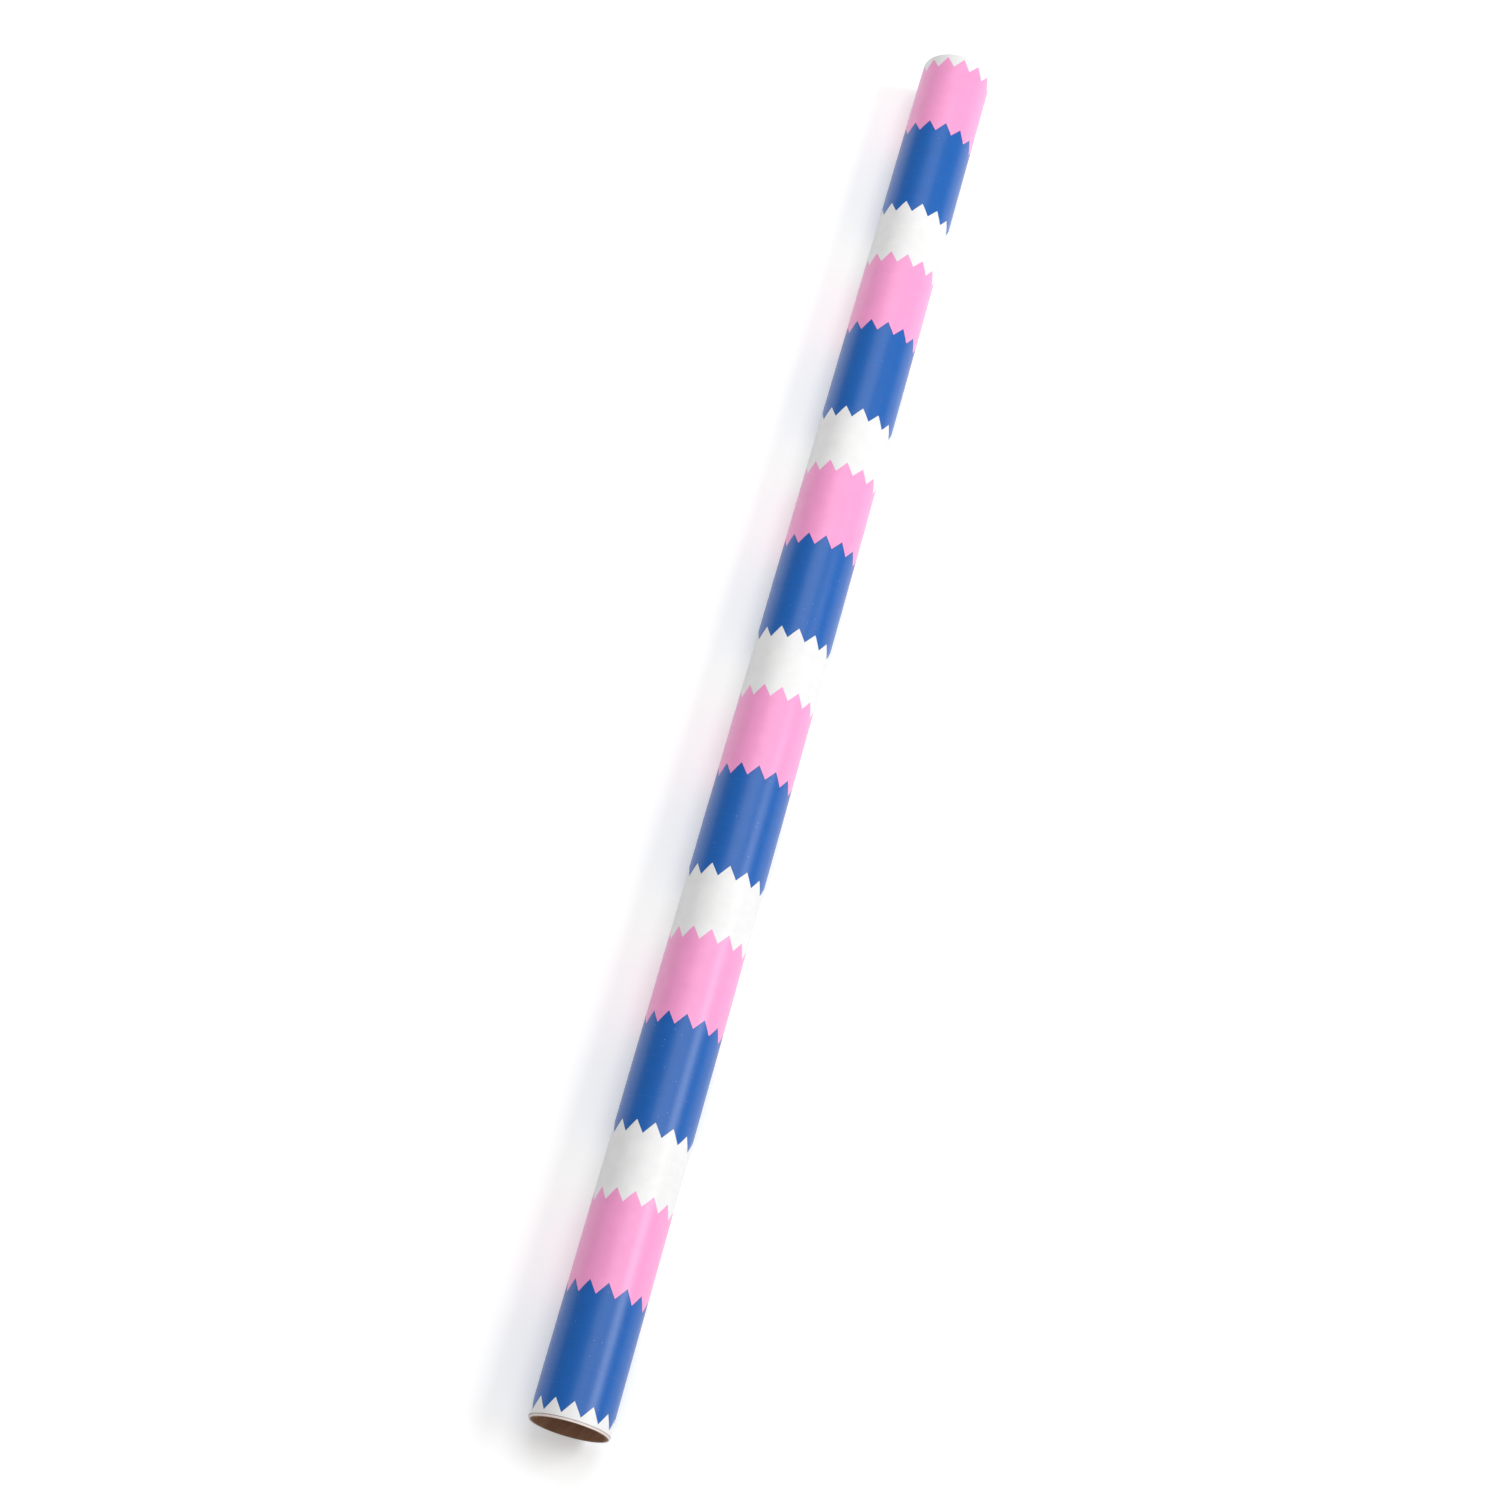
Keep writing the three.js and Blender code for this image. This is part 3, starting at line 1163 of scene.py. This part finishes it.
@dataclass
class Studio:
    """White floor, soft lamps, pale surroundings and the camera.

    Attributes:
        floor_side: Side of the square floor.
        floor_drop: How far it lies under the roll.
        floor_white: How much light the floor gives back.
        ambient: Brightness of the surroundings as light on the roll.
        mirrored: Brightness of the surroundings in the roll's shine, over the white near the floor.
        haze_top: Sine of the angle over the floor where that white has faded.
        glow: How much the floor is lifted to white where it is seen, under the roll.
        far_glow: How much it is lifted far away, where less light falls.
        glow_span: Distances from the middle between which one passes into the other.
        lens: Camera lens, in millimetres.
        sensor: Width of the camera's sensor, in millimetres.
        camera_spot: Camera place, measured from the middle of the roll's near end.
        camera_turn: Camera angles about X, Y and Z, in degrees.
        lamps: The lamps.
    """

    floor_side: float = 12.0
    floor_drop: float = 0.2 * MM
    floor_white: float = 0.9
    ambient: float = 0.4
    mirrored: float = 0.12
    glow: float = 0.28
    far_glow: float = 0.66
    glow_span: tuple[float, float] = (0.6, 2.2)
    haze_top: float = 0.1
    lens: float = 69.53
    sensor: float = 36.0
    camera_spot: Triple = (0.0, -0.22062, 1.18541)
    camera_turn: Triple = (23.407, -6.254, 14.756)
    lamps: tuple[Softbox, ...] = (
        Softbox("Right softbox", (1.48, 0.25, 1.46), (1.15, 0.72), 7.6),
        Softbox("Overhead softbox", (0.1, 0.8, 2.1), (1.5, 1.9), 2.3, turn=20.0),
    )

    def build_floor(self) -> None:
        """Lays the floor, white where it is seen, with the roll's shadow on it."""
        plan = bmesh.new()
        bmesh.ops.create_grid(plan, x_segments=8, y_segments=8, size=self.floor_side / 2)
        data = bpy.data.meshes.new("studio_floor")
        plan.to_mesh(data)
        plan.free()
        material = bpy.data.materials.new("Studio floor")
        material.use_nodes = True
        material.node_tree.nodes.clear()
        wire = Wire(material.node_tree)
        paint = wire.add("ShaderNodeBsdfPrincipled")
        paint.inputs["Base Color"].default_value = (*[self.floor_white] * 3, 1.0)
        paint.inputs["Roughness"].default_value = 0.9
        paint.inputs["Specular IOR Level"].default_value = 0.0
        paint.inputs["Emission Color"].default_value = (1.0, 1.0, 1.0, 1.0)
        away = wire.add("ShaderNodeVectorMath", operation="LENGTH")
        wire.feed(away.inputs[0], wire.add("ShaderNodeTexCoord").outputs["Object"])
        glow = wire.ramp(away.outputs["Value"], *self.glow_span, self.glow, self.far_glow)
        wire.feed(paint.inputs["Emission Strength"], wire.math("MULTIPLY", self.seen(wire), glow))
        end = wire.add("ShaderNodeOutputMaterial")
        wire.feed(end.inputs["Surface"], paint.outputs[0])
        data.materials.append(material)
        floor = bpy.data.objects.new("studio_floor", data)
        floor.location.z = -self.floor_drop
        bpy.context.scene.collection.objects.link(floor)

    @staticmethod
    def seen(wire: Wire) -> Socket:
        """A mask that is 1 for camera, glossy and transmission rays, and 0 for others."""
        path = wire.add("ShaderNodeLightPath").outputs
        either = wire.math("MAXIMUM", path["Is Camera Ray"], path["Is Glossy Ray"])
        return wire.math("MAXIMUM", either, path["Is Transmission Ray"])

    def build_world(self) -> None:
        """Makes the surroundings: a soft light on the roll, and white where they are seen."""
        world = bpy.data.worlds.new("Studio surroundings")
        world.use_nodes = True
        world.node_tree.nodes.clear()
        wire = Wire(world.node_tree)
        glow = wire.add("ShaderNodeBackground")
        glow.inputs["Color"].default_value = (1.0, 1.0, 1.0, 1.0)
        parts = wire.add("ShaderNodeSeparateXYZ")
        wire.feed(parts.inputs[0], wire.add("ShaderNodeTexCoord").outputs["Generated"])
        path = wire.add("ShaderNodeLightPath").outputs
        mirrored = wire.math("MAXIMUM", path["Is Glossy Ray"], path["Is Transmission Ray"])
        low = wire.ramp(parts.outputs["Z"], 0.0, self.haze_top, 1.0, 0.0)
        seen = wire.math("MAXIMUM", path["Is Camera Ray"], wire.math("MULTIPLY", mirrored, low))
        dimmed = wire.math("MULTIPLY_ADD", mirrored, self.mirrored - self.ambient, self.ambient)
        strength = wire.math("MAXIMUM", seen, dimmed)
        wire.feed(glow.inputs["Strength"], strength)
        end = wire.add("ShaderNodeOutputWorld")
        wire.feed(end.inputs["Surface"], glow.outputs[0])
        bpy.context.scene.world = world

    def build_camera(self) -> None:
        """Sets the camera, close over the near end and looking down along the roll."""
        data = bpy.data.cameras.new("Camera")
        data.sensor_width = self.sensor
        data.lens = self.lens
        camera = bpy.data.objects.new("Camera", data)
        near_end = ROLL.point(0.0, 0.0, -ROLL.half_length)
        camera.location = near_end + Vector(self.camera_spot)
        camera.rotation_euler = Euler([math.radians(a) for a in self.camera_turn])
        bpy.context.scene.collection.objects.link(camera)
        bpy.context.scene.camera = camera

    def build(self) -> None:
        """Builds the whole studio."""
        bpy.context.scene.view_settings.view_transform = "Standard"
        self.build_floor()
        self.build_world()
        self.build_camera()
        for lamp in self.lamps:
            lamp.build()


def main() -> None:
    """Builds the studio and the roll, piece by piece."""
    logging.basicConfig(level=logging.INFO, format="%(name)s: %(message)s")
    Studio().build()
    sheet = WrapSheet()
    sheet.build()
    LOG.info("sheet: %.1f turns, %.2f m by %.3f m", sheet.turns, sheet.length, sheet.width)
    KraftCore().build()
    for spot in ("near", "middle", "far"):
        TapeTab("closure_tab_" + spot, "tape_tab_" + spot).build()


if __name__ == "__main__":
    main()
